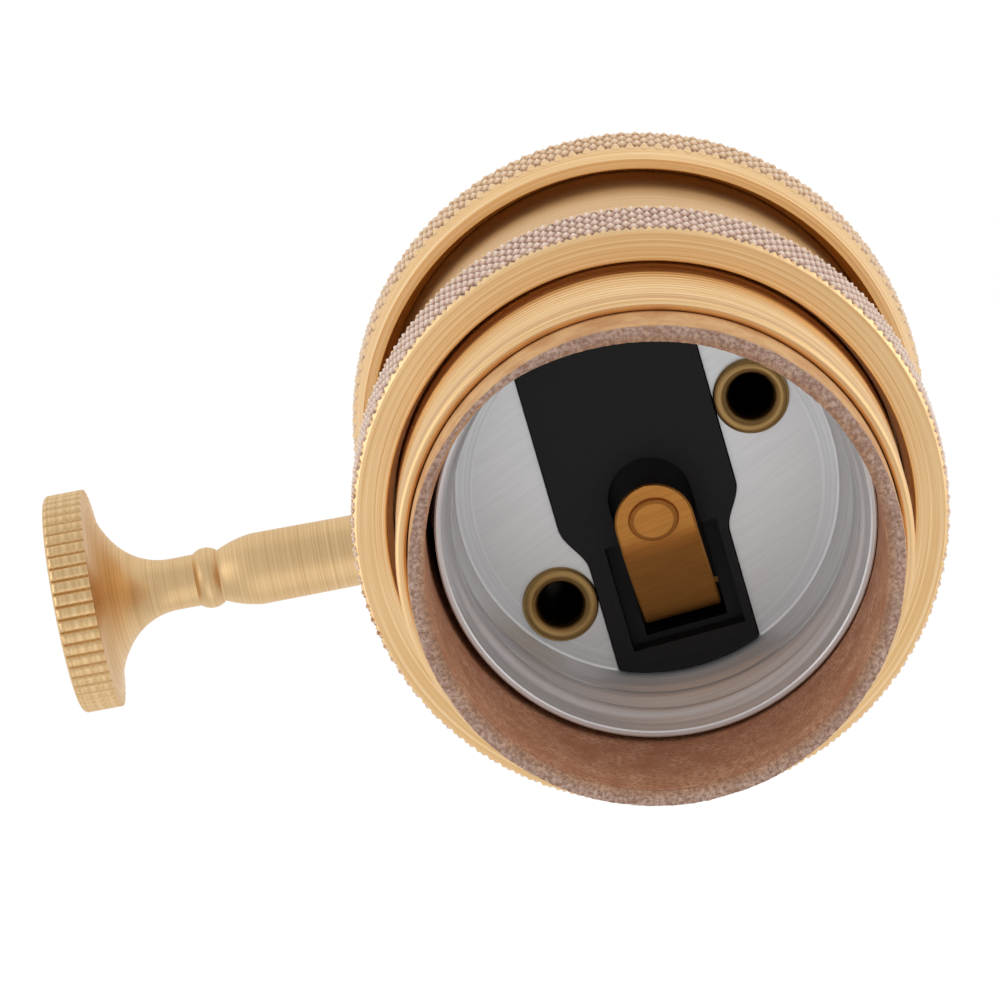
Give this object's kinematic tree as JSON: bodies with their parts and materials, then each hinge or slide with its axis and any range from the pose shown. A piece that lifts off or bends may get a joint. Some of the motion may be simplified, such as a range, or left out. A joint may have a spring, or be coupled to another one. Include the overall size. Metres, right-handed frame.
{
  "type": "lamp socket",
  "caption": "Turned brass lamp holder with a fibre lined screw shell, a sprung centre contact, a knurled shade ring and a long fluted knob that turns its rotary switch.",
  "frame": {"origin": "centre of the cap's bottom face, at the mouth of its threaded entry", "axes": "+Z along the lamp's axis towards the mouth, +X along the switch knob"},
  "size_m": [0.0568, 0.0374, 0.058],
  "materials": {
    "turned_brass": "fine turned, lacquered",
    "fibre": "vulcanised fibre, fuzzy cut edges",
    "aluminium": "spun, satin",
    "phenolic": "moulded, semi gloss",
    "rivet_brass": "rolled, slightly dull",
    "strip_brass": "rolled sheet",
    "contact_bronze": "rolled copper alloy sheet, darkened",
    "nickel": "nickel plated",
    "steel": "bright drawn"
  },
  "bodies": {
    "housing": {"front_shell": "turned_brass", "cap": "turned_brass", "neck_grub_screw": "turned_brass", "fibre_liner": "fibre", "cap_liner": "fibre", "screw_shell": "aluminium", "front_block": "phenolic", "rear_block": "phenolic", "eyelets": "rivet_brass", "switch_contact": "strip_brass", "line_terminal": "strip_brass", "neutral_terminal": "strip_brass", "line_screw": "strip_brass", "neutral_screw": "nickel", "detent_spring": "steel"},
    "switch": {"knob": "turned_brass", "switch_shaft": "steel", "rotor": "phenolic", "rotor_pin": "steel", "rotor_washer": "strip_brass", "moving_contact": "strip_brass"},
    "ring": {"shade_ring": "turned_brass"},
    "contact": {"centre_contact": "contact_bronze"}
  },
  "joints": [
    {"name": "knob_turn", "type": "hinge", "parent": "housing", "child": "switch", "pos_m": [0, 0.0021, 0.0325], "axis": [1, 0, 0], "continuous": true},
    {"name": "ring_travel", "type": "slide", "parent": "housing", "child": "ring", "axis": [0, 0, 1], "range_m": [0, 0.0075]},
    {"name": "contact_press", "type": "hinge", "parent": "housing", "child": "contact", "pos_m": [-0.00074, 0.00847, 0.0382], "axis": [0.9962, 0.0872, 0], "range_deg": [0, 8], "stiffness_Nm_per_rad": 0.2}
  ]
}
